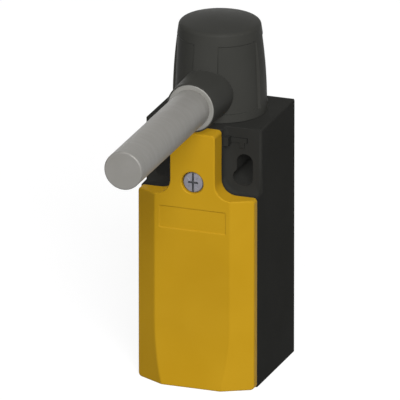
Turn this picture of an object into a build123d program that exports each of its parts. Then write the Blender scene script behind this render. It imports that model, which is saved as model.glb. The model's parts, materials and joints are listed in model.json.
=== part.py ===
from build123d import *

import math
import os

# A position switch for a machine guard, driven by a turning shaft. Millimetres, +Z up.
# The origin lies on the rear mounting face, midway between the two fixing holes.
# +Y points to the rear, so the shaft points towards -Y. Depths count forwards from the
# mounting face, and heights count upwards from the line through the fixing holes.

# Enclosure
body_width = 31.0
body_height = 67.7
hole_line_height = 54.5  # bottom face up to the fixing holes
ear_depth = 25.0
rim_reach = 3.3  # from the ears' front forwards to where the cover meets the body
cover_reach = 5.1
shoulder_height = 50.7  # bottom face up to the cover's shoulders
tongue_width = 12.0
side_wall = 2.2
back_wall = 2.6
entry_wall = 9.5
edge_radius = 0.7

# Cover
cover_wall = 2.0
facet_flat_width = 20.2  # flat front between the sloped facets
facet_slope = 0.546
bulge_start_height = 17.0
bulge_reach = 1.2
neck_radius = 4.0
corner_radius = 1.0
facet_edge_radius = 1.6
lip_length = 1.2
lip_thickness = 1.0
lip_gap = 0.15
panel_width = 17.7
panel_height = 5.8
panel_centre_height = 44.7
panel_recess = 0.15

# Gasket between cover and body
gasket_width = 1.0
gasket_groove_depth = 0.8

# Fixing holes: a round hole joined to an upright slot beside it
fixing_radius = 2.15
fixing_spacing = 20.0
slot_spacing = 22.0
slot_travel = 4.1

# Cable entry
entry_radius = 9.25
entry_depth = 14.0
entry_chamfer = 0.5

# Cover screw
screw_radius = 1.75
screw_head_radius = 2.7
screw_head_height = 2.0
screw_hole_radius = 2.9
screw_sink = 0.5
screw_reach = 11.5
screw_slot_width = 0.9
screw_slot_depth = 0.9
washer_thickness = 0.8

# Operating head
head_depth = 13.0  # mounting face to the head's upright axis
shaft_rise = 7.1  # body top up to the shaft's axis
head_radius = 12.0
ring_height = 2.25
flank_radius = 130.0
flank_steps = 3
head_height = 24.3  # body top up to the dome's tip
dome_rise = 1.1
rim_edge = 0.6
recess_radius = 10.5
recess_drop = 4.3  # dome's tip down to the recesses' upper edge
front_rib_angle = 33.0
side_rib_angle = 24.0
head_bore_radius = 8.9
head_roof = 3.2
running_gap = 0.05
seat_gap = 0.1

# Spigot of the head in the body, and the lock slide in its groove
spigot_radius = 8.5
spigot_bore_radius = 6.2
spigot_length = 5.4
spigot_floor_gap = 0.3
lock_groove_radius = 7.25
lock_groove_drop = 2.6
lock_groove_height = 1.5
lock_bar_height = 1.1
lock_bar_inner = 7.4
lock_end_inset = 3.9
lock_bar_end_depth = 11.5
lock_face_relief = 0.3
lock_tab_width = 1.3
lock_tab_height = 2.2
lock_tab_reach = 2.5
lock_leg_width = 1.3
lock_leg_length = 1.4
lock_clearance = 0.15

# Ring seal below the head's flange
flange_seal_inner = 9.4
flange_seal_outer = 10.8
flange_seal_height = 1.0

# Collar and shaft
collar_root_radius = 6.9
collar_tip_radius = 6.4
collar_lead = 1.1  # collar's tip in front of the cover
collar_root_depth = 20.0
collar_edge = 0.35
shaft_radius = 5.0
shaft_tip_depth = 83.5
shaft_edge = 0.25
journal_radius = 4.8
journal_end_depth = 18.5
spindle_radius = 3.0
bush_radius = 6.15
bush_length = 7.4
shaft_seal_length = 2.0
ring_thickness = 0.8
ring_groove_radius = 4.2
ring_outer_radius = 5.5
rear_boss_radius = 5.0
rear_boss_length = 4.6
rear_boss_depth = 3.7
rear_bush_radius = 4.1
rear_bush_length = 3.6

# Cam and head plunger
cam_width = 5.0
cam_rest_radius = 4.6
cam_arcs = 4
plunger_travel = 3.2
cam_turn = 90.0
cam_overrun = 14.0
pin_radius = 0.8
pin_length = 8.6
nose_radius = 1.0
nose_height = 0.8
nose_gap = 0.2
cup_radius = 4.5
cup_thickness = 1.05
stem_radius = 2.0
stem_drop = 9.2  # body top down to the stem's end
plate_thickness = 1.2
sleeve_radius = 3.2
sleeve_length = 3.3
passage_radius = 3.4
head_spring_radius = 3.4
head_spring_wire = 0.45
head_spring_turns = 3

# Contact block
block_width = 23.6
block_recess = 3.9  # parting face back to the block's front
block_height = 26.0
block_gap = 0.2
block_wall = 2.0
block_split_wall = 0.6  # chamber's front wall that belongs to the rear half
neck_outer_radius = 4.5
neck_height = 3.0
neck_clearance = 0.2
lip_seal_radius = 3.6
lip_seal_height = 1.4
slider_stem_radius = 1.8
slider_width = 4.4
slider_depth = 5.2
slider_length = 16.4
chamber_gap = 0.2
bridge_drop = 6.0
bridge_spacing = 6.0
bridge_width = 19.0
bridge_depth = 3.6
bridge_thickness = 0.8
tip_radius = 1.2
tip_height = 0.6
strip_thickness = 1.0
strip_width = 5.0
terminal_offset = 8.0
strip_inner_depth = 11.2
terminal_width = 6.4
terminal_height = 7.0
clamp_thickness = 0.9
terminal_screw_radius = 1.6
terminal_head_radius = 2.6
terminal_head_height = 1.8
terminal_screw_reach = 4.5
contact_spring_radius = 1.7
contact_spring_wire = 0.4
contact_spring_turns = 3
rib_width = 1.6

# Levels and depths that follow from the sizes above
parting_depth = ear_depth + rim_reach
cover_depth = parting_depth + cover_reach
collar_tip_depth = cover_depth + collar_lead
block_front_depth = parting_depth - block_recess
block_split_depth = head_depth + slider_depth / 2 + chamber_gap + block_split_wall
lock_bar_outer = body_width / 2 - lock_end_inset
bottom = -hole_line_height
top = body_height - hole_line_height
shoulder = shoulder_height - hole_line_height
cavity_top = shoulder - side_wall
cavity_bottom = bottom + entry_wall
shaft_height = top + shaft_rise
stem_end_height = top - stem_drop
flange_base = top + running_gap
recess_floor = top + ring_height
head_top = top + head_height
spigot_end = flange_base - spigot_length
socket_floor = spigot_end - spigot_floor_gap
socket_radius = spigot_radius + running_gap
lock_level = top - lock_groove_drop - lock_groove_height / 2
cam_growth = plunger_travel / math.radians(cam_turn)
nose_top = shaft_height - cam_rest_radius - nose_gap
cup_top = nose_top - nose_height
plate_top = spigot_end + plate_thickness
slider_top = stem_end_height - seat_gap
block_top = cavity_top - block_gap
block_bottom = block_top - block_height
bush_end_depth = collar_tip_depth - bush_length
seal_end_depth = bush_end_depth - shaft_seal_length
rear_boss_end_depth = rear_boss_depth + rear_boss_length
spindle_end_depth = rear_boss_end_depth - rear_bush_length
screw_seat_depth = cover_depth - screw_sink - screw_head_height - washer_thickness
neck_top = cavity_top + neck_height - neck_clearance
chamber_top = block_top - block_wall
chamber_bottom = block_bottom + block_wall
chamber_width = 2 * terminal_offset + strip_width + chamber_gap
slider_body_top = chamber_top - chamber_gap
nc_bridge_top = slider_body_top - bridge_drop
nc_strip_low = nc_bridge_top + tip_height
nc_screw_level = nc_strip_low + terminal_height / 2
no_bridge_top = nc_bridge_top - bridge_spacing
no_strip_low = (
    no_bridge_top
    - bridge_thickness
    - tip_height
    - plunger_travel
    - running_gap
    - strip_thickness
)
no_screw_level = no_strip_low + strip_thickness - terminal_height / 2
terminal_face_depth = block_front_depth + strip_thickness
upright = Axis((0, -head_depth, 0), (0, 0, 1))
shaft_line = Axis((0, 0, shaft_height), (0, 1, 0))

os.makedirs("parts", exist_ok=True)


def front_outline(inset):
    """The outline of cover, rim and gasket as seen from the front, drawn inwards by inset."""
    with BuildSketch() as outline:
        with BuildLine():
            Polyline(
                (-body_width / 2, bottom),
                (body_width / 2, bottom),
                (body_width / 2, shoulder),
                (tongue_width / 2, shoulder),
                (tongue_width / 2, top),
                (-tongue_width / 2, top),
                (-tongue_width / 2, shoulder),
                (-body_width / 2, shoulder),
                close=True,
            )
        make_face()
        corners = outline.vertices()
        neck = corners.filter_by(lambda v: v.Y > bottom + 1 and abs(v.X) < body_width / 2 - 1)
        fillet(neck.group_by(Axis.Y)[0], neck_radius)
        fillet(neck.group_by(Axis.Y)[-1], corner_radius)
        fillet(corners.filter_by(lambda v: abs(v.X) > body_width / 2 - 1), corner_radius)
        if inset:
            offset(amount=-inset, mode=Mode.REPLACE)
    return outline.sketch


def outline_ring(depth, outer_inset, inner_inset, reach):
    """A closed band that follows the front outline, from a depth forwards by reach."""
    with BuildPart() as band:
        with BuildSketch(Plane.XZ.offset(depth)):
            add(front_outline(outer_inset))
            add(front_outline(inner_inset), mode=Mode.SUBTRACT)
        extrude(amount=reach)
    return band.part


def cover_form(inset):
    """The cover's outer form, or with an inset the hollow that leaves a wall of that size."""
    front = cover_depth - inset
    flat_edge = facet_flat_width / 2 - inset * (math.hypot(1, facet_slope) - 1) / facet_slope
    reach = front + bulge_reach
    bulge_start = bottom + bulge_start_height
    with BuildPart() as form:
        with BuildSketch(Plane.XZ.offset(parting_depth)):
            add(front_outline(inset))
        extrude(amount=reach - parting_depth)
        # front line seen from the side: flat, then a slow arc forwards to the foot
        with BuildSketch(Plane.YZ):
            with BuildLine():
                foot = (-reach, bottom)
                start = (-front, bulge_start)
                Polyline((-parting_depth, bottom), (-parting_depth, top), (-front, top), start)
                TangentArc(start, foot, tangent=(0, -1))
                Line(foot, (-parting_depth, bottom))
            make_face()
        extrude(amount=body_width, both=True, mode=Mode.INTERSECT)
        # sloped facets left and right of the flat front
        side = body_width / 2
        rise = (side - flat_edge) * facet_slope
        spread = (reach - front + 1) / facet_slope
        with BuildSketch(Plane.XY.offset(bottom)):
            with BuildLine():
                Polyline(
                    (flat_edge - spread, -front - spread * facet_slope),
                    (side, -front + rise),
                    (side + 1, -front + rise),
                    (side + 1, -front - spread * facet_slope),
                    close=True,
                )
            make_face()
            mirror(about=Plane.YZ)
        extrude(amount=body_height, mode=Mode.SUBTRACT)
        if not inset:
            corner = form.edges().filter_by(Axis.Z).filter_by(
                lambda e: abs(abs(e.center().X) - side) < 0.1
                and e.center().Y < -parting_depth - 0.5
            )
            fillet(corner, facet_edge_radius)
    return form.part


def shaft_ring(inner, outer, near_depth, far_depth):
    """A plain ring round the shaft's axis between two depths, or a disc with no inner radius."""
    with BuildPart() as ring:
        with BuildSketch(Plane.XZ.offset(near_depth)):
            with Locations((0, shaft_height)):
                Circle(outer)
                if inner:
                    Circle(inner, mode=Mode.SUBTRACT)
        extrude(amount=far_depth - near_depth)
    return ring.part


def upright_ring(inner, outer, low, high):
    """A ring round the head's upright axis between two heights, or a disc with no inner radius."""
    with BuildPart() as ring:
        with BuildSketch(Plane.XY.offset(low)):
            with Locations((0, -head_depth)):
                Circle(outer)
                if inner:
                    Circle(inner, mode=Mode.SUBTRACT)
        extrude(amount=high - low)
    return ring.part


def coil_spring(radius, wire, turns, low, high):
    """A compression spring round the head's upright axis, drawn as rising half turns."""
    pitch = (high - low - wire) / turns
    with BuildPart() as spring:
        with BuildLine() as coil:
            for half in range(2 * turns):
                way = 1 if half % 2 == 0 else -1
                z = low + wire / 2 + half * pitch / 2
                ThreePointArc(
                    (way * radius, -head_depth, z),
                    (0, -head_depth + way * radius, z + pitch / 4),
                    (-way * radius, -head_depth, z + pitch / 2),
                )
        with BuildSketch(Plane(origin=coil.line @ 0, x_dir=(1, 0, 0), z_dir=coil.line % 0)):
            Rectangle(wire, wire)
        sweep()
    return spring.part


# Housing: back, sides, ears and a raised rim that carries the cover
with BuildPart() as housing:
    with BuildSketch(Plane.XZ):
        with Locations((0, (top + bottom) / 2)):
            Rectangle(body_width, body_height)
    extrude(amount=ear_depth)
    with BuildSketch(Plane.XZ.offset(ear_depth)):
        add(front_outline(0))
    extrude(amount=parting_depth - ear_depth)
    outer_edges = housing.edges().filter_by(
        lambda e: abs(abs(e.center().X) - body_width / 2) < 0.01
        and (e.center().Y > -0.01 or e.center().Z > top - 0.01 or e.center().Z > shoulder)
    )
    fillet(outer_edges.filter_by(lambda e: e.length > 2 * edge_radius), edge_radius)

    # room for the contact block and the wires
    with BuildSketch(Plane.XZ.offset(back_wall)):
        with Locations((0, (cavity_top + cavity_bottom) / 2)):
            Rectangle(body_width - 2 * side_wall, cavity_top - cavity_bottom)
    extrude(amount=parting_depth, mode=Mode.SUBTRACT)

    # upright ribs that hold the contact block between the side walls
    rib_reach = (body_width - block_width) / 2 - side_wall - seat_gap
    rib_centre = body_width / 2 - side_wall - rib_reach / 2
    with BuildSketch(Plane.XY.offset(block_bottom)):
        for x in (-rib_centre, rib_centre):
            for y in (-head_depth / 2, -head_depth * 3 / 2):
                with Locations((x, y)):
                    Rectangle(rib_reach, rib_width)
    extrude(amount=cavity_top - block_bottom)

    # ledge under the block, with room for the wires in the middle
    with BuildSketch(Plane.XY.offset(block_bottom - rib_width)):
        for x in (-rib_centre + rib_reach, rib_centre - rib_reach):
            with Locations((x, -back_wall - head_depth / 2)):
                Rectangle(2 * rib_reach + rib_reach, head_depth)
    extrude(amount=rib_width)

    # keyhole-shaped fixing holes in the ears
    with BuildSketch(Plane.XZ):
        for way in (-1, 1):
            with Locations((way * fixing_spacing / 2, 0)):
                Circle(fixing_radius)
            with Locations((way * slot_spacing / 2, slot_travel / 2)):
                SlotCenterToCenter(slot_travel, 2 * fixing_radius, rotation=90)
    extrude(amount=ear_depth, mode=Mode.SUBTRACT)

    # socket for the head, with the passage for the plunger and the block's neck below
    with BuildSketch(Plane.XY.offset(top)):
        with Locations((0, -head_depth)):
            Circle(socket_radius)
    extrude(amount=socket_floor - top, mode=Mode.SUBTRACT)
    with BuildSketch(Plane.XY.offset(cavity_top)):
        with Locations((0, -head_depth)):
            Circle(passage_radius)
    extrude(amount=socket_floor - cavity_top, mode=Mode.SUBTRACT)
    with BuildSketch(Plane.XY.offset(cavity_top)):
        with Locations((0, -head_depth)):
            Circle(neck_outer_radius + neck_clearance)
    extrude(amount=neck_height, mode=Mode.SUBTRACT)

    # groove for the ring seal below the head
    with BuildSketch(Plane.XY.offset(top)):
        with Locations((0, -head_depth)):
            Circle(flange_seal_outer)
            Circle(flange_seal_inner, mode=Mode.SUBTRACT)
    extrude(amount=-flange_seal_height, mode=Mode.SUBTRACT)

    # channel of the lock slide, open to the right ear and to the socket
    channel_height = lock_bar_height + 2 * lock_clearance
    with BuildSketch(Plane.XZ.offset(lock_bar_end_depth - lock_clearance)):
        with Locations(((lock_bar_inner + lock_bar_outer) / 2, lock_level)):
            Rectangle(lock_bar_outer - lock_bar_inner + 2 * lock_clearance, channel_height)
    extrude(amount=ear_depth, mode=Mode.SUBTRACT)

    # threaded hole for the cover screw, and the threaded cable entry
    with BuildSketch(Plane.XZ.offset(parting_depth)):
        Circle(screw_radius)
    extrude(amount=-(parting_depth - screw_seat_depth + screw_reach), mode=Mode.SUBTRACT)
    with BuildSketch(Plane.XY.offset(bottom)):
        with Locations((0, -entry_depth)):
            Circle(entry_radius)
    extrude(amount=entry_wall, mode=Mode.SUBTRACT)
    mouth = housing.faces().sort_by(Axis.Z)[0].edges().filter_by(GeomType.CIRCLE)
    chamfer(mouth.sort_by(SortBy.RADIUS)[-1], entry_chamfer)

    # groove for the gasket in the middle of the rim
    groove_inset = (side_wall - gasket_width) / 2
    add(
        outline_ring(
            parting_depth - gasket_groove_depth,
            groove_inset,
            groove_inset + gasket_width,
            gasket_groove_depth,
        ),
        mode=Mode.SUBTRACT,
    )
housing.part.label = "housing"
export_step(housing.part, "parts/housing.step")

# Gasket in the groove of the rim
with BuildPart() as cover_gasket:
    add(
        outline_ring(
            parting_depth - gasket_groove_depth,
            groove_inset,
            groove_inset + gasket_width,
            gasket_groove_depth,
        )
    )
cover_gasket.part.label = "cover_gasket"
export_step(cover_gasket.part, "parts/cover_gasket.step")

# Cover: a shell with a flat front, sloped facets and a foot that bulges forwards
with BuildPart() as cover:
    add(cover_form(0))
    add(cover_form(cover_wall), mode=Mode.SUBTRACT)
    # lip that reaches into the body's opening and stiffens the front
    lip_width = body_width - 2 * side_wall - 2 * lip_gap
    lip_height = cavity_top - cavity_bottom - 2 * lip_gap
    with BuildSketch(Plane.XZ.offset(parting_depth - lip_length)):
        with Locations((0, (cavity_top + cavity_bottom) / 2)):
            Rectangle(lip_width, lip_height)
            Rectangle(
                lip_width - 2 * lip_thickness, lip_height - 2 * lip_thickness, mode=Mode.SUBTRACT
            )
    extrude(amount=cover_depth - cover_wall - parting_depth + lip_length)
    # pillar for the screw, with the sunk hole for its head
    with BuildSketch(Plane.XZ.offset(parting_depth)):
        Circle(tongue_width / 2 - cover_wall)
    extrude(amount=cover_depth - cover_wall / 2 - parting_depth)
    with BuildSketch(Plane.XZ.offset(screw_seat_depth)):
        Circle(screw_hole_radius)
    extrude(amount=cover_depth, mode=Mode.SUBTRACT)
    with BuildSketch(Plane.XZ.offset(parting_depth)):
        Circle(screw_radius + seat_gap)
    extrude(amount=cover_depth, mode=Mode.SUBTRACT)
    # shallow bare panel on the front
    with BuildSketch(Plane.XZ.offset(cover_depth - panel_recess)):
        with Locations((0, panel_centre_height - hole_line_height)):
            RectangleRounded(panel_width, panel_height, panel_recess)
    extrude(amount=cover_depth, mode=Mode.SUBTRACT)
cover.part.label = "cover"
export_step(cover.part, "parts/cover.step")

# Cover screw with a slotted and crossed head, and its sealing washer
with BuildPart() as cover_screw:
    head_seat = screw_seat_depth + washer_thickness
    with BuildSketch(Plane.XZ.offset(head_seat)):
        Circle(screw_head_radius)
    extrude(amount=screw_head_height)
    chamfer(cover_screw.faces().sort_by(Axis.Y)[0].edges(), edge_radius / 2)
    with BuildSketch(Plane.XZ.offset(screw_seat_depth - screw_reach)):
        Circle(screw_radius)
    extrude(amount=screw_reach + washer_thickness)
    with BuildSketch(Plane.XZ.offset(head_seat + screw_head_height - screw_slot_depth)):
        Rectangle(screw_slot_width, 2 * screw_head_radius)
        Rectangle(screw_head_radius * 1.2, screw_slot_width)
    extrude(amount=screw_head_height, mode=Mode.SUBTRACT)
cover_screw.part.label = "cover_screw"
export_step(cover_screw.part, "parts/cover_screw.step")

with BuildPart() as screw_washer:
    with BuildSketch(Plane.XZ.offset(screw_seat_depth)):
        Circle(screw_head_radius)
        Circle(screw_radius, mode=Mode.SUBTRACT)
    extrude(amount=washer_thickness)
screw_washer.part.label = "screw_washer"
export_step(screw_washer.part, "parts/screw_washer.step")

# Turret: the operating head, turned about its upright axis with spigot, flank and dome
with BuildPart() as turret:
    flank_height = head_height - dome_rise - ring_height
    flank = []
    for step in range(flank_steps + 1):
        level = flank_height * step / flank_steps
        flank.append((head_radius - level**2 / (2 * flank_radius), recess_floor + level))
    dome_base = head_top - dome_rise
    bore_cone_low = flange_base + seat_gap
    bore_cone_high = bore_cone_low + head_bore_radius - spigot_bore_radius
    groove_low = lock_level - lock_groove_height / 2
    groove_high = lock_level + lock_groove_height / 2
    with BuildSketch(Plane.XZ.offset(head_depth)) as section:
        with BuildLine():
            Polyline(
                (0, head_top - head_roof),
                (head_bore_radius, head_top - head_roof),
                (head_bore_radius, bore_cone_high),
                (spigot_bore_radius, bore_cone_low),
                (spigot_bore_radius, spigot_end),
                (spigot_radius, spigot_end),
                (spigot_radius, groove_low),
                (lock_groove_radius, groove_low),
                (lock_groove_radius, groove_high),
                (spigot_radius, groove_high),
                (spigot_radius, flange_base),
                (head_radius, flange_base),
                *flank,
                (0, head_top),
                close=True,
            )
        make_face()
        rim = section.vertices().filter_by(
            lambda v: abs(v.Y - dome_base) < 0.01 and v.X > head_bore_radius
        )
        chamfer(rim, rim_edge)
    revolve(axis=upright)

    # four recesses that leave ribs at the front, the rear and both sides
    recess_start = front_rib_angle / 2
    recess_end = 90 - side_rib_angle / 2
    with BuildSketch(Plane.XY.offset(recess_floor)) as recesses:
        with Locations((0, -head_depth)):
            Circle(head_radius + 1)
            Circle(recess_radius, mode=Mode.SUBTRACT)
        for rib_angle, direction in (
            (front_rib_angle, -90),
            (side_rib_angle, 0),
            (front_rib_angle, 90),
            (side_rib_angle, 180),
        ):
            half = math.radians(rib_angle / 2)
            reach = head_radius + 2
            with BuildLine(Plane.XY):
                left = math.radians(direction) - half
                right = math.radians(direction) + half
                Polyline(
                    (0, -head_depth),
                    (reach * math.cos(left), -head_depth + reach * math.sin(left)),
                    (reach * math.cos(right), -head_depth + reach * math.sin(right)),
                    close=True,
                )
            make_face(mode=Mode.SUBTRACT)
    extrude(amount=head_top - recess_drop - recess_floor, mode=Mode.SUBTRACT)

    # collar for the shaft, slightly tapered
    with BuildSketch(Plane.YZ) as collar_section:
        with BuildLine():
            Polyline(
                (-collar_root_depth, shaft_height),
                (-collar_root_depth, shaft_height + collar_root_radius),
                (-collar_tip_depth, shaft_height + collar_tip_radius),
                (-collar_tip_depth, shaft_height),
                close=True,
            )
        make_face()
        lip = collar_section.vertices().sort_by(Axis.Y)[-2:].sort_by(Axis.X)[0]
        chamfer(lip, collar_edge)
    revolve(axis=shaft_line)

    # boss at the rear for the shaft's inner bearing
    with BuildSketch(Plane.XZ.offset(rear_boss_depth)):
        with Locations((0, shaft_height)):
            Circle(rear_boss_radius)
    extrude(amount=rear_boss_length)

    # bores for the bush and seal, the shaft's journal and the rear bush
    add(shaft_ring(0, bush_radius, seal_end_depth, collar_tip_depth), mode=Mode.SUBTRACT)
    add(
        shaft_ring(0, journal_radius + seat_gap, collar_root_depth, seal_end_depth),
        mode=Mode.SUBTRACT,
    )
    add(
        shaft_ring(0, rear_bush_radius, spindle_end_depth, rear_boss_end_depth),
        mode=Mode.SUBTRACT,
    )
turret.part.label = "turret"
export_step(turret.part, "parts/turret.step")

# Ring seal in its groove below the head
with BuildPart() as turret_seal:
    add(
        upright_ring(
            flange_seal_inner, flange_seal_outer, top - flange_seal_height, top
        )
    )
turret_seal.part.label = "turret_seal"
export_step(turret_seal.part, "parts/turret_seal.step")

# Lock slide: a bar in the right ear that reaches into the spigot's groove, with a tab to
# pull and a raised arm and leg on the ear
with BuildPart() as head_lock_slide:
    with BuildSketch(Plane.XZ.offset(lock_bar_end_depth)):
        with Locations(((lock_bar_inner + lock_bar_outer) / 2, lock_level)):
            Rectangle(lock_bar_outer - lock_bar_inner, lock_bar_height)
    extrude(amount=ear_depth + lock_face_relief - lock_bar_end_depth)
    tab_inner = tongue_width / 2 + lock_clearance
    with BuildSketch(Plane.XZ.offset(ear_depth + seat_gap / 2)):
        with Locations(((tab_inner + lock_bar_outer) / 2, lock_level)):
            Rectangle(lock_bar_outer - tab_inner, lock_bar_height)
        leg_centre = lock_bar_outer - lock_leg_width
        with Locations((leg_centre, lock_level - lock_bar_height / 2 - lock_leg_length / 2)):
            Rectangle(lock_leg_width, lock_leg_length)
    extrude(amount=lock_face_relief)
    with BuildSketch(Plane.XZ.offset(ear_depth + seat_gap / 2)):
        with Locations((tab_inner + lock_tab_width / 2, lock_level)):
            Rectangle(lock_tab_width, lock_tab_height)
    extrude(amount=lock_tab_reach)
head_lock_slide.part.label = "head_lock_slide"
export_step(head_lock_slide.part, "parts/head_lock_slide.step")

# Plate that closes the spigot, with a sleeve that guides the head plunger
with BuildPart() as turret_base_plate:
    add(upright_ring(stem_radius + running_gap, spigot_bore_radius, spigot_end, plate_top))
    add(
        upright_ring(
            stem_radius + running_gap, sleeve_radius, spigot_end - sleeve_length, spigot_end
        )
    )
turret_base_plate.part.label = "turret_base_plate"
export_step(turret_base_plate.part, "parts/turret_base_plate.step")

# Shaft: free end, journal in the bush, and a thin spindle for cam and rear bush
with BuildPart() as shaft:
    shoulder_depth = collar_tip_depth + running_gap
    with BuildSketch(Plane.YZ):
        with BuildLine():
            Polyline(
                (-spindle_end_depth, shaft_height),
                (-spindle_end_depth, shaft_height + spindle_radius),
                (-journal_end_depth, shaft_height + spindle_radius),
                (-journal_end_depth, shaft_height + journal_radius),
                (-collar_root_depth + seat_gap + ring_thickness, shaft_height + journal_radius),
                (-collar_root_depth + seat_gap + ring_thickness, shaft_height + ring_groove_radius),
                (-collar_root_depth + seat_gap, shaft_height + ring_groove_radius),
                (-collar_root_depth + seat_gap, shaft_height + journal_radius),
                (-shoulder_depth, shaft_height + journal_radius),
                (-shoulder_depth, shaft_height + shaft_radius),
                (-shaft_tip_depth, shaft_height + shaft_radius),
                (-shaft_tip_depth, shaft_height),
                close=True,
            )
        make_face()
    revolve(axis=shaft_line)
    ends = shaft.edges().filter_by(GeomType.CIRCLE).sort_by(Axis.Y)
    chamfer([ends[0], ends[-1]], shaft_edge)
    with BuildSketch(Plane.YZ.offset(-pin_length / 2)):
        with Locations((-head_depth, shaft_height)):
            Circle(pin_radius)
    extrude(amount=pin_length, mode=Mode.SUBTRACT)
shaft.part.label = "shaft"
export_step(shaft.part, "parts/shaft.step")

# Bearing bushes, shaft seal and the ring that keeps the shaft in the head
with BuildPart() as front_bush:
    add(shaft_ring(journal_radius + running_gap, bush_radius, bush_end_depth, collar_tip_depth))
    bore_edges = front_bush.faces().sort_by(Axis.Y)[0].edges().sort_by(SortBy.RADIUS)
    chamfer(bore_edges[-1], shaft_edge)
front_bush.part.label = "front_bush"
export_step(front_bush.part, "parts/front_bush.step")

with BuildPart() as shaft_seal:
    add(shaft_ring(journal_radius + running_gap, bush_radius, seal_end_depth, bush_end_depth))
shaft_seal.part.label = "shaft_seal"
export_step(shaft_seal.part, "parts/shaft_seal.step")

with BuildPart() as rear_bush:
    add(
        shaft_ring(
            spindle_radius + running_gap, rear_bush_radius, spindle_end_depth, rear_boss_end_depth
        )
    )
rear_bush.part.label = "rear_bush"
export_step(rear_bush.part, "parts/rear_bush.step")

with BuildPart() as retaining_ring:
    ring_front = collar_root_depth - seat_gap
    ring_rear = ring_front - ring_thickness
    add(shaft_ring(ring_groove_radius, ring_outer_radius, ring_rear, ring_front))
    # open below, so that it can be pushed into its groove
    with BuildSketch(Plane.XZ.offset(ring_rear)):
        with Locations((0, shaft_height - ring_outer_radius)):
            Rectangle(ring_groove_radius, ring_outer_radius)
    extrude(amount=ring_thickness, mode=Mode.SUBTRACT)
retaining_ring.part.label = "retaining_ring"
export_step(retaining_ring.part, "parts/retaining_ring.step")

# Cam: its radius grows evenly with the angle, so the plunger sinks evenly with the turn
with BuildPart() as cam:
    with BuildSketch(Plane.XZ.offset(head_depth - cam_width / 2)):
        with BuildLine():
            end_angle = math.radians(cam_turn + cam_overrun)
            flank_points = []
            for step in range(2 * cam_arcs + 1):
                angle = end_angle * step / (2 * cam_arcs)
                radius = cam_rest_radius + cam_growth * angle
                flank_points.append(
                    (radius * math.sin(angle), shaft_height - radius * math.cos(angle))
                )
            for arc in range(cam_arcs):
                ThreePointArc(*flank_points[2 * arc : 2 * arc + 3])
            heel = (
                cam_rest_radius * math.sin(end_angle),
                shaft_height - cam_rest_radius * math.cos(end_angle),
            )
            Line(flank_points[-1], heel)
            ThreePointArc(heel, (-cam_rest_radius, shaft_height), flank_points[0])
        make_face()
    extrude(amount=cam_width)
    with BuildSketch(Plane.XZ):
        with Locations((0, shaft_height)):
            Circle(spindle_radius)
    extrude(amount=2 * head_depth, mode=Mode.SUBTRACT)
    with BuildSketch(Plane.YZ.offset(-pin_length / 2)):
        with Locations((-head_depth, shaft_height)):
            Circle(pin_radius)
    extrude(amount=pin_length, mode=Mode.SUBTRACT)
cam.part.label = "cam"
export_step(cam.part, "parts/cam.step")

with BuildPart() as cam_pin:
    with BuildSketch(Plane.YZ.offset(-pin_length / 2)):
        with Locations((-head_depth, shaft_height)):
            Circle(pin_radius)
    extrude(amount=pin_length)
cam_pin.part.label = "cam_pin"
export_step(cam_pin.part, "parts/cam_pin.step")

# Head plunger: rounded nose under the cam, cup on the spring, stem in the sleeve
with BuildPart() as head_plunger:
    add(upright_ring(0, cup_radius, cup_top - cup_thickness, cup_top))
    add(upright_ring(0, stem_radius, stem_end_height, cup_top))
    with BuildSketch(Plane.XZ.offset(head_depth)):
        with Locations((0, nose_top - nose_radius)):
            Circle(nose_radius)
        with Locations((0, cup_top - cup_thickness / 2)):
            Rectangle(2 * nose_radius, cup_thickness)
    extrude(amount=cam_width / 2, both=True)
head_plunger.part.label = "head_plunger"
export_step(head_plunger.part, "parts/head_plunger.step")

with BuildPart() as head_spring:
    add(
        coil_spring(
            head_spring_radius,
            head_spring_wire,
            head_spring_turns,
            plate_top + seat_gap,
            cup_top - cup_thickness - seat_gap,
        )
    )
head_spring.part.label = "head_spring"
export_step(head_spring.part, "parts/head_spring.step")

# Contact block: rear and front halves round one chamber for slider and bridges
with BuildPart() as contact_base:
    with BuildSketch(Plane.XZ.offset(back_wall)):
        with Locations((0, (block_top + block_bottom) / 2)):
            Rectangle(block_width, block_height)
    extrude(amount=block_split_depth - back_wall)
    add(upright_ring(0, neck_outer_radius, block_top, neck_top))
    with BuildSketch(Plane.XZ.offset(head_depth - slider_depth / 2 - chamber_gap)):
        with Locations((0, (chamber_top + chamber_bottom) / 2)):
            Rectangle(chamber_width, chamber_top - chamber_bottom)
    extrude(amount=block_front_depth, mode=Mode.SUBTRACT)
    add(upright_ring(0, lip_seal_radius, neck_top - lip_seal_height, neck_top), mode=Mode.SUBTRACT)
    add(
        upright_ring(0, slider_stem_radius + running_gap, chamber_top, neck_top),
        mode=Mode.SUBTRACT,
    )
contact_base.part.label = "contact_base"
export_step(contact_base.part, "parts/contact_base.step")

with BuildPart() as contact_front:
    with BuildSketch(Plane.XZ.offset(block_split_depth)):
        with Locations((0, (block_top + block_bottom) / 2)):
            Rectangle(block_width, block_height)
    extrude(amount=block_front_depth - block_split_depth)
    # barrier between the left and right terminals
    with BuildSketch(Plane.XZ.offset(block_front_depth)):
        with Locations((0, (block_top + block_bottom) / 2)):
            Rectangle(rib_width, block_height)
    extrude(amount=parting_depth - lip_length - seat_gap - block_front_depth)
    # slots for the fixed contacts, and room for the ends of the terminal screws
    with BuildSketch(Plane.XZ.offset(block_split_depth)):
        for x in (-terminal_offset, terminal_offset):
            for low in (nc_strip_low, no_strip_low):
                with Locations((x, low + strip_thickness / 2)):
                    Rectangle(strip_width, strip_thickness)
    extrude(amount=block_front_depth, mode=Mode.SUBTRACT)
    with BuildSketch(Plane.XZ.offset(terminal_face_depth - terminal_screw_reach - seat_gap)):
        for x in (-terminal_offset, terminal_offset):
            for level in (nc_screw_level, no_screw_level):
                with Locations((x, level)):
                    Circle(terminal_screw_radius + seat_gap)
    extrude(amount=block_front_depth, mode=Mode.SUBTRACT)
contact_front.part.label = "contact_front"
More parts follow.
